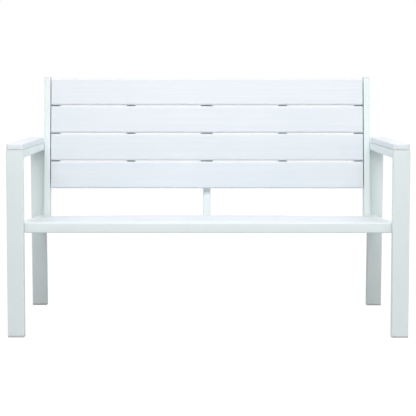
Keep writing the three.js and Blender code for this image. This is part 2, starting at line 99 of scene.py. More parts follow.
BACK_SCREW_COLUMN = 0.0168  # from the centre strip's middle to each of its two columns of screws
SEAT_SCREW_COLUMN = 0.011  # the same on the centre bearer
BACK_SCREW_APART = 0.024  # from a slat's middle to each of its two rows of screws
SEAT_SCREW_APART = 0.022
BEAD_RADIUS = 0.0019
BEAD_TAPER = 0.002  # length over which a bead's end is drawn out
BEAD_STEP = 0.0009  # spacing of a weld bead's rings
BEAD_PITCH = 0.0026  # from one ripple to the next
BEAD_OFF = 0.0004  # how far a bead's middle stands off the corner that it fills
STITCH_RADIUS = 0.0017  # the short beads along the strips behind the back
STITCH_HALF = 0.015  # half their length
STITCH_OFF = 0.0009  # how far the centre strip's stitches stand off it
STRIP_STITCHES = (0.12, 0.5, 0.88)  # shares of an end strip's length
BEARER_STITCHES = (0.12, 0.26)  # from the front of an end bearer
BEARER_STITCH_HALF = 0.014
BEARER_STITCH_RISE = 0.0012
POST_BEAD = (0.003, 0.027)  # heights on the post where its side beads start and stop
BOLT_CLEARANCE = 0.002  # between a bolt's head and the bead that stops short of it
CAP_CLEARANCE = 0.004  # the same above the plastic caps under the uprights
RAIL_FRONT_SLOPE = math.tan(-SEAT_TILT)  # slants of a seat side rail's ends
RAIL_REAR_SLOPE = math.tan(LEG_TILT - SEAT_TILT)

# ---- Lights and floor ----
LIGHTS = (
    # name, place, aim, size along x and y, watts
    ("backdrop", (0.0, 4.2, 1.1), (0.0, 0.0, 1.1), (9.0, 2.2), 48.5),
    ("near_top", (0.0, -1.1, 1.9), (0.0, 0.1, 0.75), (2.6, 0.6), 22.0),
    ("front_top", (0.0, -2.4, 3.0), (0.0, 0.0, 0.4), (3.0, 1.6), 15.0),
    ("rear_top", (0.0, 1.6, 3.2), (0.0, 0.0, 0.4), (3.0, 1.6), 4.1),
    ("low_right", (2.6, -2.6, 0.8), (0.0, 0.0, 0.4), (1.6, 1.4), 2.6),
    ("left_side", (-3.2, -0.6, 1.6), (0.0, 0.0, 0.4), (1.8, 1.8), 2.3),
    ("right_side", (3.2, -0.6, 1.6), (0.0, 0.0, 0.4), (1.8, 1.8), 9.0),
)
WORLD_LIGHT = 0.565
FLOOR_HALF = 30.0
FLOOR_GREY = 0.6
FLOOR_GLOW = 1.1  # what the camera sees of the floor is mostly this, so that it looks white
FLOOR_GLOW_SHARE = 0.9
SIDES = (("left", -1), ("right", 1))
BACK_SLATS = [f"back_slat_{i}" for i in range(1, 5)]
SEAT_SLATS = [f"seat_slat_{i}" for i in range(1, 5)]

rng = np.random.default_rng(1205)


# ---- Reading the frame ----
def cad_points(node, tilt):
    """A CAD node's vertices in the frame turned by tilt about X, as an (n, 3) array."""
    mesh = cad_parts[node].data
    points = np.empty(len(mesh.vertices) * 3)
    mesh.vertices.foreach_get("co", points)
    turn = np.array(Matrix.Rotation(-tilt, 3, "X"))
    return points.reshape(-1, 3) @ turn.T


def cad_box(node, tilt=LEVEL):
    """A CAD node's lowest and highest corners in the frame turned by tilt about X."""
    points = cad_points(node, tilt)
    return points.min(0), points.max(0)


# ---- Building meshes ----
class Form:
    """Points and faces that several closed shapes are gathered into, all in one tilted frame."""

    def __init__(self):
        self.points = []
        self.faces = []
        self.count = 0

    def loft(self, rings, wrap=False):
        """Quads between neighbouring rings of points. wrap joins the last ring to the first."""
        rings = np.asarray(rings, float)
        stations, around = rings.shape[:2]
        index = np.arange(stations * around).reshape(stations, around) + self.count
        after = np.roll(index, -1, axis=1)
        last = stations if wrap else stations - 1
        nxt = np.roll(index, -1, axis=0)
        nxt_after = np.roll(after, -1, axis=0)
        quads = np.stack([index[:last], after[:last], nxt_after[:last], nxt[:last]], axis=-1)
        self.faces.extend(quads.reshape(-1, 4).tolist())
        if not wrap:
            self.faces.append(index[0][::-1].tolist())
            self.faces.append(index[-1].tolist())
        self.points.append(rings.reshape(-1, 3))
        self.count += stations * around

    def finish(self, name, tilt, material, replaced=(), sharp=35):
        """Makes the piece, rides it on the frame and hides the CAD nodes that it stands for."""
        mesh = bpy.data.meshes.new(name)
        turn = np.array(Matrix.Rotation(tilt, 3, "X"))
        points = np.concatenate(self.points) @ turn.T
        mesh.from_pydata(points.tolist(), [], self.faces)
        mesh.validate()
        shape = bmesh.new()
        shape.from_mesh(mesh)
        bmesh.ops.recalc_face_normals(shape, faces=shape.faces)
        shape.to_mesh(mesh)
        shape.free()
        mesh.polygons.foreach_set("use_smooth", [True] * len(mesh.polygons))
        mesh.set_sharp_from_angle(angle=math.radians(sharp))
        mesh.materials.append(material)
        piece = bpy.data.objects.new(name, mesh)
        bpy.context.scene.collection.objects.link(piece)
        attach(piece, "root")
        if replaced:
            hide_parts(*replaced)
        return piece


def rounded_ring(width, depth, radius, across=1, deep=1, cuts=CORNER_CUTS):
    """A rounded rectangle round the origin, anticlockwise, as an (n, 2) array of points.

    across and deep say how many lengths the sides along u and along v are cut into.
    """
    u = width / 2 - radius
    v = depth / 2 - radius
    points = []
    corners = ((u, -v, -90, deep), (u, v, 0, across), (-u, v, 90, deep), (-u, -v, 180, across))
    for i, (cu, cv, start, pieces) in enumerate(corners):
        for k in range(cuts + 1):
            angle = math.radians(start + 90 * k / cuts)
            points.append((cu + radius * math.cos(angle), cv + radius * math.sin(angle)))
        end_angle = math.radians(start + 90)
        here = np.array(points[-1])
        nu, nv = corners[(i + 1) % 4][:2]
        there = np.array([nu, nv]) + radius * np.array([math.cos(end_angle), math.sin(end_angle)])
        for k in range(1, pieces):
            points.append(tuple(here + (there - here) * k / pieces))
    return np.array(points)


def ring_normals(ring):
    """Outward directions of an anticlockwise ring's points."""
    along = np.roll(ring, -1, axis=0) - np.roll(ring, 1, axis=0)
    out = np.stack([along[:, 1], -along[:, 0]], axis=1)
    return out / np.linalg.norm(out, axis=1, keepdims=True)


def put(ring, along, axis):
    """Points of a ring at a distance along an axis; ring is (u, v) = the other two axes in order."""
    along = np.broadcast_to(along, ring.shape[:1])
    order = {"x": (along, ring[:, 0], ring[:, 1]),
             "y": (ring[:, 0], along, ring[:, 1]),
             "z": (ring[:, 0], ring[:, 1], along)}[axis]
    return np.stack(order, axis=1)


def section(low, high, axis):
    """The axis as a number, then the size and the middle of a box seen along that axis."""
    k = "xyz".index(axis)
    others = [i for i in range(3) if i != k]
    size = np.array([high[i] - low[i] for i in others])
    middle = np.array([(high[i] + low[i]) / 2 for i in others])
    return k, size, middle


def tube_rings(low, high, axis, start=None, end=None, wall=WALL, radius=TUBE_RADIUS):
    """A hollow tube in a box, with its ends cut where start and end say, from (u, v)."""
    k, size, middle = section(low, high, axis)
    start = start or (lambda uv: low[k])
    end = end or (lambda uv: high[k])

    def ring(inset, corner):
        made = rounded_ring(size[0] - 2 * inset, size[1] - 2 * inset, corner)
        return made + middle

    outer = ring(0, radius)
    eased = ring(END_EASE, radius - END_EASE)
    bore = ring(wall, radius - wall)
    return [
        put(eased, start(eased), axis),
        put(outer, start(outer) + END_EASE, axis),
        put(outer, end(outer) - END_EASE, axis),
        put(eased, end(eased), axis),
        put(bore, end(bore), axis),
        put(bore, start(bore), axis),
    ]


def bar_rings(low, high, axis, edge):
    """A solid bar in a box, with rounded long edges and rounded ends."""
    k, size, middle = section(low, high, axis)
    rings = []
    steps = 4
    for side, at in ((1, low[k]), (-1, high[k])):
        turns = range(steps + 1) if side == 1 else range(steps, -1, -1)
        for step in turns:
            angle = math.pi / 2 * step / steps
            inset = edge * (1 - math.sin(angle))
            back = edge * (1 - math.cos(angle))
            ring = rounded_ring(size[0] - 2 * inset, size[1] - 2 * inset,
                                max(edge - inset, edge * 0.2))
            rings.append(put(ring + middle, at + side * back, axis))
    return rings


def grain(stations, around, length):
    """A field of long, thin hollows: stations along the slat, around points across the grain."""
    field = np.zeros((stations, around))
    along = np.linspace(0, 1, stations)
    for reach, strength, soften in ((0.16, 1.0, 1), (0.055, 0.6, 0), (0.35, 0.8, 3)):
        knots = max(4, int(length / reach) + 2)
        values = rng.normal(size=(knots, around))
        for _ in range(soften):
            values = 0.25 * np.roll(values, 1, 1) + 0.5 * values + 0.25 * np.roll(values, -1, 1)
        values /= values.std()
        at = along * (knots - 1)
        low = np.minimum(at.astype(int), knots - 2)
        blend = (at - low)[:, None]
        blend = blend * blend * (3 - 2 * blend)
        field += strength * (values[low] * (1 - blend) + values[low + 1] * blend)
    return np.clip(field / field.std(), -GRAIN_CLIP, GRAIN_CLIP)


def slat_rings(low, high, axis, edge, end_edge, plan, rise=None):
    """A wood-grained slat in a box: rounded edges, plan the radius of its corners seen from above."""
    k, size, middle = section(low, high, axis)
    broad = 0 if size[0] > size[1] else 1
    across = [max(2, round((s - 2 * edge) / GRAIN_LINE)) for s in size]
    length = high[k] - low[k]
    ends = [plan * (1 - math.cos(math.pi / 2 * i / 7)) for i in range(8)]
    ends += [end_edge * (1 - math.cos(math.pi / 2 * i / 4)) for i in range(1, 5)]
    ends = sorted(set(round(e, 7) for e in ends))
    inner = np.arange(max(ends) + GRAIN_STEP, length / 2 - GRAIN_STEP / 2, GRAIN_STEP)
    half = np.concatenate([ends, inner])
    places = np.concatenate([half, [length / 2], length - half[::-1]])

    sample = rounded_ring(size[0], size[1], edge, across[0], across[1])
    normals = ring_normals(sample)
    count = len(sample)
    hollow = GRAIN_DEPTH * (grain(len(places), count, length) - GRAIN_CLIP) / 2
    wave_places = np.linspace(0, length, WAVE_POINTS)
    slow = np.interp(places, wave_places, rng.normal(size=WAVE_POINTS)) * WAVE_DEPTH
    rings = []
    for i, s in enumerate(places):
        reach = min(s, length - s)
        plan_in = plan - math.sqrt(max(plan ** 2 - max(plan - reach, 0) ** 2, 0))
        edge_in = end_edge - math.sqrt(max(end_edge ** 2 - max(end_edge - reach, 0) ** 2, 0))
        inset = [edge_in, edge_in]
        inset[broad] = plan_in
        ring = rounded_ring(size[0] - 2 * inset[0], size[1] - 2 * inset[1],
                            max(edge - edge_in, edge * 0.3), across[0], across[1])
        fade = min(1.0, reach / GRAIN_FADE)
        ring = ring + normals * (fade * (hollow[i] + min(slow[i], 0) - GRAIN_SINK))[:, None]
        ring = ring + middle
        if rise is not None:
            ring[:, 1] += rise(low[k] + s)
        rings.append(put(ring, low[k] + s, axis))
    return rings


def cap_rings(low, high, flange, face, outer):
    """A moulded cap for a tube's end: a flange with soft edges, then a plug that goes up the bore.

    outer gives the height of the cap's outer face from (u, v); face is 1 where it looks up.
    """
    size = high[:2] - low[:2]
    middle = (high[:2] + low[:2]) / 2
    reach = high[2] - low[2]
    steps = [(CAP_SOFT * (1 - math.sin(math.pi / 2 * i / 5)),
              CAP_SOFT * (1 - math.cos(math.pi / 2 * i / 5))) for i in range(6)]
    plug = WALL + PLUG_FIT
    steps += [(0, flange - PLUG_FIT), (PLUG_FIT, flange), (plug, flange),
              (plug, reach - PLUG_TAPER), (plug + PLUG_TAPER, reach)]
    rings = []
    for inset, depth in steps:
        ring = rounded_ring(size[0] - 2 * inset, size[1] - 2 * inset,
                            max(TUBE_RADIUS - inset, 0.0008)) + middle
        rings.append(put(ring, outer(ring) - face * depth, "z"))
    return rings


def hexagon(flats):
    """The radius of a hexagon hole at each angle of a bolt's rings."""
    return [flats / 2 / math.cos(a % (math.pi / 3) - math.pi / 6) for a in BOLT_ANGLES]


def cross(arm, half_width):
    """The radius of a cross recess at each angle of a screw's rings."""
    radii = []
    for angle in SCREW_ANGLES:
        from_arm = min(angle % (math.pi / 2), math.pi / 2 - angle % (math.pi / 2))
        if math.tan(from_arm) <= half_width / arm + 1e-9:
            radii.append(arm / math.cos(from_arm))
        else:
            radii.append(half_width / math.sin(from_arm))
    return radii


def turned(profile, angles, centre, axis, facing):
    """Rings round an axis through centre; the profile is (distance outwards, radius or radii)."""
    rings = []
    for distance, radius in profile:
        radii = np.broadcast_to(radius, len(angles))
        ring = np.stack([radii * np.cos(angles), radii * np.sin(angles)], axis=1)
        rings.append(put(ring, facing * distance, axis) + np.array(centre))
    return rings


def dome(start, end, steps=6):
    """Profile points of a quarter-round shoulder from start to end, both (distance, radius)."""
    turns = [math.pi / 2 * i / steps for i in range(steps + 1)]
    return [(start[0] + (end[0] - start[0]) * math.sin(a),
             end[1] + (start[1] - end[1]) * math.cos(a)) for a in turns]


def bolt_profile(reach, head):
    """A button-head bolt on a washer: its tip at -reach, its washer from 0, its socket on top."""
    socket = np.array(hexagon(BOLT_SOCKET))
    return [
        (-reach, BOLT_SHANK - BOLT_TIP), (-reach + BOLT_TIP, BOLT_SHANK), (0.0, BOLT_SHANK),
        (0.0, WASHER - EASE), (EASE, WASHER), (0.0006, WASHER), (0.0008, WASHER - EASE),
        (0.0008, BOLT_HEAD - 0.0001), (0.0010, BOLT_HEAD), (0.0013, BOLT_HEAD),
        *dome((0.0014, BOLT_HEAD), (head, BOLT_SOCKET * 0.74)),
        (head, socket + EASE), (head - EASE, socket), (head - 0.0026, socket),
        (head - 0.0031, 0.0006),
    ]


def screw_profile(reach, radius, head, shank):
    """A pan-head screw with a cross recess: its tip at -reach, its head from 0."""
    recess = np.array(cross(radius * 0.52, radius * 0.13))
    return [
        (-reach, 0.0004), (-reach + shank, shank), (0.0, shank), (0.0, radius - 0.0001),
        (EASE, radius), (head * 0.35, radius),
        *dome((head * 0.36, radius), (head, radius * 0.66), 5),
        (head, recess * 1.12), (head - EASE, recess), (head - 0.0014, recess * 0.55),
        (head - 0.0017, recess * 0.2),
    ]


def bead(form, path, radius=BEAD_RADIUS):
    """A rippled weld bead along a path of points, with its ends drawn out thin."""
    path = np.asarray(path, float)
    lengths = np.concatenate([[0], np.cumsum(np.linalg.norm(np.diff(path, axis=0), axis=1))])
    count = max(6, int(lengths[-1] / BEAD_STEP))
    at = np.linspace(0, lengths[-1], count + 1)
    points = np.stack([np.interp(at, lengths, path[:, i]) for i in range(3)], axis=1)
    along = np.gradient(points, axis=0)
    along /= np.linalg.norm(along, axis=1, keepdims=True)
    first = np.cross(along, (0.577, 0.577, 0.577))
    first /= np.linalg.norm(first, axis=1, keepdims=True)
    second = np.cross(along, first)
    ripple = 0.06 * np.abs(np.sin(np.pi * at / BEAD_PITCH)) + 0.03 * rng.normal(size=len(at))
    swell = radius * (0.94 + ripple)
    swell *= np.sqrt(np.clip(np.minimum(at, at[-1] - at) / BEAD_TAPER, 0.06, 1.0))
    angles = np.linspace(0, 2 * math.pi, 9)[:-1]
    rings = (points[:, None] + swell[:, None, None]
             * (np.cos(angles)[None, :, None] * first[:, None]
                + np.sin(angles)[None, :, None] * second[:, None]))
    form.loft(rings)


def joint_path(low, high, axis, plane, skip):
    """Where a tube's end meets a flat face: round its section, leaving out the side called skip."""
    _, size, middle = section(low, high, axis)
    size = size + 2 * BEAD_OFF
    ring = rounded_ring(size[0], size[1], TUBE_RADIUS + BEAD_OFF, 12, 12)
    u, v = ring[:, 0], ring[:, 1]
    out = {"-u": -u - size[0] / 2, "+u": u - size[0] / 2,
           "-v": -v - size[1] / 2, "+v": v - size[1] / 2}
    left_out = out[skip] > -BEAD_OFF * 1.5
    start = int(np.argmax(left_out & ~np.roll(left_out, -1))) + 1
    ring = np.roll(ring, -start, axis=0)[: int((~left_out).sum())] + middle
    return put(ring, plane(ring), axis)


# ---- Materials ----
def add_node(tree, kind, settings=None, **inputs):
    """Adds a shader node; an input is a number, a tuple or another node's output."""
    node = tree.nodes.new(kind)
    for key, value in (settings or {}).items():
        setattr(node, key, value)
    for key, value in inputs.items():
        socket = node.inputs[key.replace("_", " ")]
        if isinstance(value, bpy.types.NodeSocket):
            tree.links.new(value, socket)
        else:
            socket.default_value = value
    return node


def new_material(name):
    """An empty material with a Principled shader, and its tree and shader."""
    material = bpy.data.materials.new(name)
    material.use_nodes = True
    tree = material.node_tree
    tree.nodes.clear()
    output = tree.nodes.new("ShaderNodeOutputMaterial")
    shader = tree.nodes.new("ShaderNodeBsdfPrincipled")
    tree.links.new(shader.outputs["BSDF"], output.inputs["Surface"])
    return material, tree, shader


def noise(tree, coordinates, scale, detail=3.0, roughness=0.5, stretch=None, distortion=0.0):
    """A noise texture's value; stretch scales the coordinates on each axis first."""
    if stretch is not None:
        mapping = add_node(tree, "ShaderNodeMapping", Vector=coordinates, Scale=stretch)
        coordinates = mapping.outputs["Vector"]
    made = add_node(tree, "ShaderNodeTexNoise", Vector=coordinates, Scale=scale, Detail=detail,
                    Roughness=roughness, Distortion=distortion)
    return made.outputs["Fac"]


def ramp(tree, value, low, high, to_low=0.0, to_high=1.0):
    """Maps a value from low..high to to_low..to_high, and stops at both."""
    made = add_node(tree, "ShaderNodeMapRange", Value=value, From_Min=low, From_Max=high,
                    To_Min=to_low, To_Max=to_high)
    return made.outputs["Result"]


def blend(tree, factor, first, second, mode="MIX"):
    """Mixes two colours; each of the three may be a value or another node's output."""
    made = tree.nodes.new("ShaderNodeMix")
    made.data_type = "RGBA"
    made.blend_type = mode
    for socket, value in ((made.inputs[0], factor), (made.inputs[6], first),
                          (made.inputs[7], second)):
        if isinstance(value, bpy.types.NodeSocket):
            tree.links.new(value, socket)
        else:
            socket.default_value = value
    return made.outputs[2]


def maths(tree, operation, first, second=0.0):
    """The result of a maths node."""
    made = tree.nodes.new("ShaderNodeMath")
    made.operation = operation
    for socket, value in zip(made.inputs, (first, second)):
        if isinstance(value, bpy.types.NodeSocket):
            tree.links.new(value, socket)
        else:
            socket.default_value = value
    return made.outputs[0]


def bump(tree, height, strength, distance, normal=None):
    """A normal bent by a height, on top of another bump's normal where one is given."""
    made = add_node(tree, "ShaderNodeBump", Height=height, Strength=strength, Distance=distance)
    if normal is not None:
        tree.links.new(normal, made.inputs["Normal"])
    return made.outputs["Normal"]


def object_coordinates(tree):
    """The piece's own coordinates, in metres."""
    return tree.nodes.new("ShaderNodeTexCoord").outputs["Object"]


def edges(tree):
    """1 on outer edges and 0 on flats, from how the mesh bends."""
    bend = tree.nodes.new("ShaderNodeNewGeometry").outputs["Pointiness"]
    return ramp(tree, bend, 0.505, 0.56)


COAT_LOW = (0.751, 0.835, 0.826, 1)
COAT_HIGH = (0.785, 0.865, 0.863, 1)
COAT_SPECK = (0.608, 0.676, 0.672, 1)
# painted highlight: a lighter coat colour for the edges, standing in for sheen
COAT_EDGE_HIGHLIGHT = (0.843, 0.907, 0.910, 1)
SLAT_LOW = (0.751, 0.797, 0.838, 1)
SLAT_HIGH = (0.775, 0.816, 0.857, 1)
SLAT_BAND = (0.726, 0.773, 0.819, 1)
SLAT_LINE = (0.677, 0.725, 0.772, 1)
SLAT_PORE = (0.589, 0.644, 0.691, 1)
# painted highlight: a lighter slat colour for the rounded edges
SLAT_EDGE_HIGHLIGHT = (0.824, 0.851, 0.881, 1)
ZINC_LOW = (0.55, 0.56, 0.57, 1)
ZINC_HIGH = (0.68, 0.69, 0.69, 1)
ZINC_SCRATCH = (0.80, 0.80, 0.80, 1)
ARM_WHITENESS = 1.05  # the arm slats are a little whiter than the others
LONG_STRETCH = 0.02  # how much slower the grain changes along a slat
PORE_STRETCH = 0.05


def powder_coat():
    """Greenish-white powder coat: orange peel, cloudy colour, and a highlight painted lighter along the
    edges.
    """
    material, tree, shader = new_material("powder_coat")
    where = object_coordinates(tree)
    clouds = noise(tree, where, scale=7.0, detail=4.0)
    colour = blend(tree, ramp(tree, clouds, 0.3, 0.7), COAT_LOW, COAT_HIGH)
    specks = noise(tree, where, scale=900.0, detail=2.0)
    colour = blend(tree, ramp(tree, specks, 0.66, 0.78, 0.0, 0.25), colour, COAT_SPECK)
    # painted highlight: the convex edges are lightened in the base colour to stand for sheen
    colour = blend(tree, maths(tree, "MULTIPLY", edges(tree), 0.35), colour, COAT_EDGE_HIGHLIGHT)
    tree.links.new(colour, shader.inputs["Base Color"])
    peel = noise(tree, where, scale=420.0, detail=2.0, roughness=0.4)
    patches = noise(tree, where, scale=30.0, detail=3.0)
    roughness = maths(tree, "ADD", ramp(tree, patches, 0.3, 0.7, 0.36, 0.46),
                      ramp(tree, peel, 0.3, 0.7, -0.03, 0.03))
    tree.links.new(roughness, shader.inputs["Roughness"])
    fine = bump(tree, noise(tree, where, scale=1900.0, detail=2.0), 0.10, 0.0001)
    tree.links.new(bump(tree, peel, 0.22, 0.0003, fine), shader.inputs["Normal"])
    shader.inputs["IOR"].default_value = 1.5
    return material


def grained_plastic(name, stretch, seed, whiteness=1.0):
    """Bluish-white foamed plastic with wood grain along the axis that stretch leaves long."""
    material, tree, shader = new_material(name)
    where = add_node(tree, "ShaderNodeMapping", Vector=object_coordinates(tree),
                     Location=(seed, seed * 0.7, seed * 0.3)).outputs["Vector"]
    long_way = [LONG_STRETCH if axis == "long" else 1.0 for axis in stretch]
    broad = noise(tree, where, scale=60.0, detail=3.0, roughness=0.55, stretch=long_way, distortion=0.4)
    lines = noise(tree, where, scale=420.0, detail=4.0, roughness=0.6, stretch=long_way, distortion=0.2)
    pores_stretch = [PORE_STRETCH if axis == "long" else 1.0 for axis in stretch]
    pores = noise(tree, where, scale=900.0, detail=2.0, roughness=0.5, stretch=pores_stretch)
    clouds = noise(tree, where, scale=5.0, detail=2.0)
    colour = blend(tree, ramp(tree, clouds, 0.3, 0.7), SLAT_LOW, SLAT_HIGH)
    colour = blend(tree, ramp(tree, broad, 0.35, 0.65, 0.0, 0.5), colour, SLAT_BAND)
    colour = blend(tree, ramp(tree, lines, 0.52, 0.72, 0.0, 0.35), colour, SLAT_LINE)
    colour = blend(tree, ramp(tree, pores, 0.66, 0.76, 0.0, 0.3), colour, SLAT_PORE)
    # painted highlight: the convex edges are lightened in the base colour, not wear
    colour = blend(tree, maths(tree, "MULTIPLY", edges(tree), 0.3), colour, SLAT_EDGE_HIGHLIGHT)
    colour = blend(tree, 1.0, colour, (whiteness, whiteness, whiteness, 1), "MULTIPLY")
    tree.links.new(colour, shader.inputs["Base Color"])
    roughness = maths(tree, "ADD", ramp(tree, lines, 0.3, 0.7, 0.47, 0.58),
                      ramp(tree, clouds, 0.3, 0.7, -0.03, 0.03))
    tree.links.new(roughness, shader.inputs["Roughness"])
    low = bump(tree, broad, 0.25, 0.0005)
    middle = bump(tree, lines, 0.35, 0.0003, low)
    tree.links.new(bump(tree, pores, -0.2, 0.0002, middle), shader.inputs["Normal"])
    shader.inputs["IOR"].default_value = 1.49
    return material


def moulded_plastic(name, low, high, scuffed):
    """Cap plastic: fine spark-eroded texture, flow clouds between two colours, scuffed edges."""
    material, tree, shader = new_material(name)
    where = object_coordinates(tree)
    clouds = noise(tree, where, scale=40.0, detail=4.0)
    colour = blend(tree, ramp(tree, clouds, 0.3, 0.7), low, high)
    scuffs = noise(tree, where, scale=260.0, detail=5.0, roughness=0.7)
    worn = maths(tree, "MULTIPLY", edges(tree), ramp(tree, scuffs, 0.4, 0.6))
    colour = blend(tree, maths(tree, "MULTIPLY", worn, 0.6), colour, scuffed)
    tree.links.new(colour, shader.inputs["Base Color"])
    tree.links.new(ramp(tree, scuffs, 0.3, 0.7, 0.5, 0.66), shader.inputs["Roughness"])
    texture = noise(tree, where, scale=1600.0, detail=2.0)
    tree.links.new(bump(tree, texture, 0.3, 0.0001), shader.inputs["Normal"])
    return material


def zinc():
    """Bright zinc plate: cloudy passivation, fine scratches."""
    material, tree, shader = new_material("zinc_plate")
    where = object_coordinates(tree)
    clouds = noise(tree, where, scale=160.0, detail=4.0)
    colour = blend(tree, ramp(tree, clouds, 0.3, 0.7), ZINC_LOW, ZINC_HIGH)
    scratches = noise(tree, where, scale=900.0, detail=3.0, roughness=0.6, stretch=(1.0, 0.08, 1.0))
    colour = blend(tree, ramp(tree, scratches, 0.6, 0.75, 0.0, 0.4), colour, ZINC_SCRATCH)
    tree.links.new(colour, shader.inputs["Base Color"])
    tree.links.new(ramp(tree, clouds, 0.3, 0.7, 0.26, 0.44), shader.inputs["Roughness"])
    tree.links.new(bump(tree, scratches, 0.12, 0.0001), shader.inputs["Normal"])
    shader.inputs["Metallic"].default_value = 0.9
    return material


STEEL = powder_coat()
SLAT = grained_plastic("grained_slat_plastic", ("long", "", ""), 0.0)
ARM_SLAT = grained_plastic("grained_arm_plastic", ("", "long", ""), 3.1, ARM_WHITENESS)
FOOT_CAP = moulded_plastic("grey_cap_plastic", (0.50, 0.54, 0.535, 1), (0.56, 0.60, 0.60, 1),
                           (0.68, 0.71, 0.71, 1))
TUBE_CAP = moulded_plastic("white_cap_plastic", (0.75, 0.82, 0.81, 1), (0.79, 0.86, 0.85, 1),
                           (0.83, 0.88, 0.88, 1))
ZINC = zinc()


# ---- Slats ----
def seat_rise(reach):
    """How much a seat slat rises at x, as a function that is 0 at reach."""
    return lambda x: SEAT_CROWN * (1 - (x / reach) ** 2)


leg_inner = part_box("front_leg_right")[0].x
for name in SEAT_SLATS:
    low, high = cad_box(name, SEAT_TILT)
    high = high - np.array([0, 0, SEAT_CROWN])  # the rise is put back by seat_rise
    form = Form()
    form.loft(slat_rings(low, high, "x", SLAT_EDGE, SLAT_END, SLAT_END, seat_rise(leg_inner)))
    form.finish(f"{name}_grained", SEAT_TILT, SLAT, [name])
for name in BACK_SLATS:
    low, high = cad_box(name, BACK_TILT)
    form = Form()
    form.loft(slat_rings(low, high, "x", SLAT_EDGE, SLAT_END, SLAT_END))
    form.finish(f"{name}_grained", BACK_TILT, SLAT, [name])
for side_name, _ in SIDES:
    name = f"arm_slat_{side_name}"
    low, high = cad_box(name)
    form = Form()
    form.loft(slat_rings(low, high, "y", ARM_SLAT_EDGE, ARM_SLAT_EDGE, ARM_SLAT_CORNER))
    form.finish(f"{name}_grained", LEVEL, ARM_SLAT, [name])

# ---- Frame tubes ----
def steel(name, rings, tilt=LEVEL):
    """One frame tube, which stands for the CAD node of the same name."""
    form = Form()
    form.loft(rings, wrap=True)
    form.finish(f"{name}_tube", tilt, STEEL, [name])


def leg_height(y, z):
    """How far up the rear leg's own frame a point lies: y in that frame, z in the world's."""
    return (z - y * math.sin(LEG_TILT)) / math.cos(LEG_TILT)


def front_leg(side_name, rail_low, rail_high):
    """A front leg, its top cut at the mitre with the arm rail."""
    name = f"front_leg_{side_name}"
    low, high = cad_box(name)
    rise = rail_high[2] - rail_low[2]
    steel(name, tube_rings(
        low, high, "z",
        end=lambda uv: high[2] - (uv[:, 1] - low[1]) * rise / (high[1] - low[1])))


def rear_leg(side_name, rail_low, rail_high):
    """A rear leg, cut level at the foot and at the mitre with the arm rail."""
    name = f"rear_leg_{side_name}"
    low, high = cad_box(name, LEG_TILT)
    front = leg_height(low[1], rail_low[2])
    rear = leg_height(high[1], rail_high[2])
    foot_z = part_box(f"front_leg_{side_name}")[0].z
    steel(name, tube_rings(
        low, high, "z",
        start=lambda uv: leg_height(uv[:, 1], foot_z),
        end=lambda uv: front + (uv[:, 1] - low[1]) / (high[1] - low[1]) * (rear - front)),
        LEG_TILT)


def rear_leg_front(side_name, z):
    """Where a rear leg's front face is, at world height z."""
    y = cad_box(f"rear_leg_{side_name}", LEG_TILT)[0][1]
    return y * math.cos(LEG_TILT) - leg_height(y, z) * math.sin(LEG_TILT)


def arm_rail(side_name, low, high):
    """An arm rail, both its ends cut at the mitres with the legs."""
    rise = high[2] - low[2]
    rear_run = high[1] - rear_leg_front(side_name, low[2])
    steel(f"arm_rail_{side_name}", tube_rings(
        low, high, "y",
        start=lambda uv: low[1] + (high[2] - uv[:, 1]),
        end=lambda uv: high[1] - (high[2] - uv[:, 1]) / rise * rear_run))


def side_rail_ends(low, high):
    """Where a seat side rail's front and rear ends are cut, each a function of (u, v)."""
    return (lambda uv: low[1] + (high[2] - uv[:, 1]) * RAIL_FRONT_SLOPE,
            lambda uv: high[1] - (uv[:, 1] - low[2]) * RAIL_REAR_SLOPE)


for side_name, _ in SIDES:
    rail_box = cad_box(f"arm_rail_{side_name}")
    front_leg(side_name, *rail_box)
    rear_leg(side_name, *rail_box)
    arm_rail(side_name, *rail_box)

for name, axis, tilt in (
    ("seat_rear_rail", "x", SEAT_TILT),
    ("seat_front_rail", "x", SEAT_TILT),
    ("seat_bearer_centre", "y", SEAT_TILT),
    ("seat_bearer_quarter_left", "y", SEAT_TILT),
    ("seat_bearer_quarter_right", "y", SEAT_TILT),
    ("seat_bearer_end_left", "y", SEAT_TILT),
    ("seat_bearer_end_right", "y", SEAT_TILT),
    ("back_upright_left", "z", BACK_TILT),
    ("back_upright_right", "z", BACK_TILT),
    ("back_centre_post", "z", BACK_TILT),
):
    steel(name, tube_rings(*cad_box(name, tilt), axis), tilt)

for side_name, _ in SIDES:
    name = f"seat_side_rail_{side_name}"
    low, high = cad_box(name, SEAT_TILT)
    start, end = side_rail_ends(low, high)
    steel(name, tube_rings(low, high, "y", start, end), SEAT_TILT)

for place in ("end_left", "end_right", "quarter_left", "quarter_right", "centre"):
    name = f"back_batten_{place}"
    low, high = cad_box(name, BACK_TILT)
    form = Form()
    form.loft(bar_rings(low, high, "z", STRIP_EDGE))
    form.finish(f"{name}_strip", BACK_TILT, STEEL, [name])

# ---- Caps ----
for side_name, _ in SIDES:
    for place, tilt in (("front", LEVEL), ("rear", LEG_TILT)):
        name = f"{place}_foot_cap_{side_name}"
        low, high = cad_box(name, tilt)
        form = Form()
        form.loft(cap_rings(
            low, high, FOOT_FLANGE, -1,
            lambda uv, tilt=tilt: -uv[:, 1] * math.tan(tilt)))
        form.finish(f"{name}_moulded", tilt, FOOT_CAP, [name])
for name, face in (("upright_top_cap_left", 1), ("upright_top_cap_right", 1),
                   ("upright_bottom_cap_left", -1), ("upright_bottom_cap_right", -1),
                   ("post_top_cap", 1), ("post_bottom_cap", -1)):
    low, high = cad_box(name, BACK_TILT)
    outer_face = high[2] if face > 0 else low[2]
    form = Form()
    form.loft(cap_rings(low, high, CAP_FLANGE, face,
                        lambda uv, outer_face=outer_face: np.full(len(uv), outer_face)))
    form.finish(f"{name}_moulded", BACK_TILT, TUBE_CAP, [name])

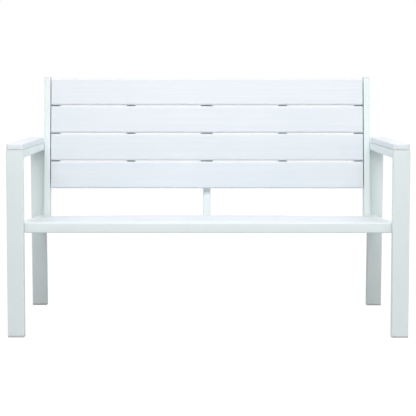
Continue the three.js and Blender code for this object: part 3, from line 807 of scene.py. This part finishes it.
# ---- Bolts and screws ----
for side_name, side in SIDES:
    for name, facing in ((f"front_rail_bolt_{side_name}", side),
                         (f"lower_back_bolt_{side_name}", side),
                         (f"upper_back_bolt_{side_name}", -side)):
        low, high = cad_box(name)
        top, tip = (high[0], low[0]) if facing > 0 else (low[0], high[0])
        seat_face = top - facing * BOLT_HEAD_HEIGHT
        centre = (seat_face, (low[1] + high[1]) / 2, (low[2] + high[2]) / 2)
        form = Form()
        profile = bolt_profile(abs(seat_face - tip), BOLT_HEAD_HEIGHT)
        form.loft(turned(profile, BOLT_ANGLES, centre, "x", facing))
        form.finish(f"{name}_button_head", LEVEL, ZINC, [name])
    for place in ("front", "rear"):
        name = f"arm_screw_{place}_{side_name}"
        low, high = cad_box(name)
        centre = ((low[0] + high[0]) / 2, (low[1] + high[1]) / 2, low[2] + ARM_SCREW_HEAD)
        form = Form()
        profile = screw_profile(
            high[2] - centre[2], ARM_SCREW, ARM_SCREW_HEAD, ARM_SCREW_SHANK)
        form.loft(turned(profile, SCREW_ANGLES, centre, "z", -1))
        form.finish(f"{name}_pan_head", LEVEL, ZINC, [name])
for name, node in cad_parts.items():
    if "nut" in name:
        node.data.materials.clear()
        node.data.materials.append(ZINC)


def slat_screws(name, tilt, support, slats, axis, columns, apart):
    """Screws through a support into each slat: two along the support in every column."""
    low, high = cad_box(support, tilt)
    along = "xyz".index(axis)
    across = "z" if axis == "y" else "y"
    facing = 1 if across == "y" else -1
    profile = screw_profile(SLAT_SCREW_REACH, SLAT_SCREW, SLAT_SCREW_HEAD, SLAT_SCREW_SHANK)
    form = Form()
    for slat in slats:
        slat_low, slat_high = cad_box(slat, tilt)
        for column in columns:
            for shift in (-apart, apart):
                centre = np.zeros(3)
                centre[0] = (low[0] + high[0]) / 2 + column
                centre[along] = (slat_low[along] + slat_high[along]) / 2 + shift
                if across == "y":
                    centre[1] = high[1]
                else:
                    centre[2] = low[2]
                turn = rng.uniform(0, math.pi / 2)
                rings = turned(profile, SCREW_ANGLES, (0, 0, 0), across, facing)
                spin = np.array(Matrix.Rotation(turn, 3, across.upper()))
                form.loft([ring @ spin.T + centre for ring in rings])
    form.finish(name, tilt, ZINC)


for place, back_columns, seat_columns in (
    ("end_left", (0.0,), (0.0,)), ("end_right", (0.0,), (0.0,)),
    ("quarter_left", (0.0,), (0.0,)), ("quarter_right", (0.0,), (0.0,)),
    ("centre", (-BACK_SCREW_COLUMN, BACK_SCREW_COLUMN),
     (-SEAT_SCREW_COLUMN, SEAT_SCREW_COLUMN)),
):
    slat_screws(f"back_screws_{place}", BACK_TILT, f"back_batten_{place}", BACK_SLATS, "z",
                back_columns, BACK_SCREW_APART)
    slat_screws(f"seat_screws_{place}", SEAT_TILT, f"seat_bearer_{place}", SEAT_SLATS, "y",
                seat_columns, SEAT_SCREW_APART)

# ---- Weld beads ----
def side_rail_welds(side_name, side):
    """Beads round both ends of a seat side rail, except on its inner side."""
    inner_side = "-u" if side > 0 else "+u"
    low, high = cad_box(f"seat_side_rail_{side_name}", SEAT_TILT)
    start, end = side_rail_ends(low, high)
    path = joint_path(low, high, "y", lambda uv: start(uv) + BEAD_OFF, inner_side)
    form = Form()
    # The front bead stops below a bolt's head and goes on above it.
    bolt_low, bolt_high = cad_box(f"front_rail_bolt_{side_name}", SEAT_TILT)
    bead(form, path[path[:, 2] < bolt_low[2] - BOLT_CLEARANCE])
    bead(form, path[path[:, 2] > bolt_high[2] + BOLT_CLEARANCE])
    bead(form, joint_path(low, high, "y", lambda uv: end(uv) - BEAD_OFF, inner_side))
    form.finish(f"welds_side_rail_{side_name}", SEAT_TILT, STEEL)


def arm_welds(side_name):
    """Beads under an arm rail, in its corners with the front leg and the rear leg."""
    leg_low, leg_high = cad_box(f"front_leg_{side_name}")
    rail_bottom = cad_box(f"arm_rail_{side_name}")[0][2]
    ends = (leg_low[0] + TUBE_RADIUS, leg_high[0] - TUBE_RADIUS)
    form = Form()
    for y in (leg_high[1] + BEAD_OFF, rear_leg_front(side_name, rail_bottom) - BEAD_OFF):
        bead(form, [(x, y, rail_bottom - BEAD_OFF) for x in np.linspace(*ends, 10)])
    form.finish(f"welds_arm_{side_name}", LEVEL, STEEL)


def level_cut(at):
    """A joint plane at one distance along the tube."""
    return lambda uv: np.full(len(uv), at)


def seat_welds():
    """Beads where the bearers meet the rails and where the rear rail meets the uprights."""
    form = Form()
    front_high = cad_box("seat_front_rail", SEAT_TILT)[1]
    rear_low, rear_high = cad_box("seat_rear_rail", SEAT_TILT)
    for place in ("centre", "quarter_left", "quarter_right", "end_left", "end_right"):
        low, high = cad_box(f"seat_bearer_{place}", SEAT_TILT)
        bead(form, joint_path(low, high, "y", level_cut(front_high[1] + BEAD_OFF), "+v"))
        if not place.startswith("end"):
            bead(form, joint_path(low, high, "y", level_cut(rear_low[1] - BEAD_OFF), "+v"))
    for side_name, side in SIDES:
        low, high = cad_box(f"seat_bearer_end_{side_name}", SEAT_TILT)
        x = (high[0] if side > 0 else low[0]) + side * BEAD_OFF
        z = low[2] + BEARER_STITCH_RISE
        for middle in BEARER_STITCHES:
            y = low[1] + middle
            bead(form, [(x, y - BEARER_STITCH_HALF, z), (x, y + BEARER_STITCH_HALF, z)])
        plane = rear_high[0] if side > 0 else rear_low[0]
        path = joint_path(rear_low, rear_high, "x", level_cut(plane - side * BEAD_OFF), "-u")
        # No bead under the rail, where the upright ends in a plastic cap.
        bead(form, path[path[:, 2] > rear_low[2] + CAP_CLEARANCE])
    form.finish("welds_seat", SEAT_TILT, STEEL)


def stitch(form, x, y, z):
    """A short upright bead."""
    bead(form, [(x, y, z - STITCH_HALF), (x, y, z + STITCH_HALF)], STITCH_RADIUS)


def back_welds():
    """Beads that hold the strips behind the back to the post and the uprights."""
    form = Form()
    post_low, post_high = cad_box("back_centre_post", BACK_TILT)
    strip_rear = cad_box("back_batten_centre", BACK_TILT)[1][1]
    for side_name, side in SIDES:
        x = post_high[0] if side > 0 else post_low[0]
        for slat in BACK_SLATS:
            # Halfway between the two rows of screws that hold the slat.
            slat_low, slat_high = cad_box(slat, BACK_TILT)
            z = (slat_low[2] + slat_high[2]) / 2
            if z + STITCH_HALF <= post_high[2]:
                stitch(form, x, strip_rear + STITCH_OFF, z)
        bead(form, [(x, post_low[1] + BEAD_OFF, post_low[2] + height) for height in POST_BEAD])
        low, high = cad_box(f"back_batten_end_{side_name}", BACK_TILT)
        x = high[0] if side > 0 else low[0]
        for share in STRIP_STITCHES:
            stitch(form, x, high[1], low[2] + share * (high[2] - low[2]))
    form.finish("welds_back", BACK_TILT, STEEL)


for side_name, side in SIDES:
    side_rail_welds(side_name, side)
    arm_welds(side_name)
seat_welds()
back_welds()

# ---- Floor, lights and camera ----
def add_light(name, place, aim, size, power):
    """A rectangular light that the camera doesn't see."""
    data = bpy.data.lights.new(name, "AREA")
    data.shape = "RECTANGLE"
    data.size, data.size_y = size
    data.energy = power
    light = bpy.data.objects.new(name, data)
    light.location = place
    light.visible_camera = False
    light.rotation_mode = "QUATERNION"
    light.rotation_quaternion = (Vector(aim) - Vector(place)).to_track_quat("-Z", "Y")
    bpy.context.scene.collection.objects.link(light)


def show_camera(tree, output, lit, seen, share):
    """Shows the camera the shader seen, by this share, and every other ray the shader lit."""
    path = tree.nodes.new("ShaderNodeLightPath")
    mix = tree.nodes.new("ShaderNodeMixShader")
    tree.links.new(maths(tree, "MULTIPLY", path.outputs["Is Camera Ray"], share), mix.inputs[0])
    tree.links.new(lit.outputs[0], mix.inputs[1])
    tree.links.new(seen.outputs[0], mix.inputs[2])
    tree.links.new(mix.outputs[0], output.inputs["Surface"])


def add_world():
    """A white studio round the bench."""
    world = bpy.data.worlds.new("studio")
    bpy.context.scene.world = world
    world.use_nodes = True
    tree = world.node_tree
    tree.nodes.clear()
    output = tree.nodes.new("ShaderNodeOutputWorld")
    seen = add_node(tree, "ShaderNodeBackground", Color=(1, 1, 1, 1), Strength=1.0)
    lit = add_node(tree, "ShaderNodeBackground", Color=(1, 1, 1, 1), Strength=WORLD_LIGHT)
    show_camera(tree, output, lit, seen, 1.0)


def add_floor():
    """A pale floor at z = 0, which isn't part of the bench."""
    mesh = bpy.data.meshes.new("floor")
    corners = [(x * FLOOR_HALF, y * FLOOR_HALF, 0) for x, y in ((-1, -1), (1, -1), (1, 1), (-1, 1))]
    mesh.from_pydata(corners, [], [(0, 1, 2, 3)])
    floor = bpy.data.objects.new("floor", mesh)
    bpy.context.scene.collection.objects.link(floor)
    material, tree, shader = new_material("pale_floor")
    shader.inputs["Base Color"].default_value = (FLOOR_GREY, FLOOR_GREY, FLOOR_GREY, 1)
    shader.inputs["Roughness"].default_value = 0.9
    output = next(n for n in tree.nodes if n.type == "OUTPUT_MATERIAL")
    glow = add_node(tree, "ShaderNodeEmission", Color=(1, 1, 1, 1), Strength=FLOOR_GLOW)
    show_camera(tree, output, shader, glow, FLOOR_GLOW_SHARE)
    mesh.materials.append(material)


def add_camera():
    """The camera, aimed a little down and a little to the left."""
    data = bpy.data.cameras.new("camera")
    data.sensor_width = 36.0
    data.lens = CAMERA_LENS
    data.shift_x, data.shift_y = CAMERA_SHIFT
    data.dof.use_dof = False
    camera = bpy.data.objects.new("camera", data)
    camera.location = CAMERA_PLACE
    camera.rotation_euler = (math.pi / 2 - CAMERA_PITCH, 0.0, CAMERA_YAW)
    bpy.context.scene.collection.objects.link(camera)
    bpy.context.scene.camera = camera


for light in LIGHTS:
    add_light(*light)
add_world()
add_floor()
add_camera()
bpy.context.scene.view_settings.view_transform = "Standard"
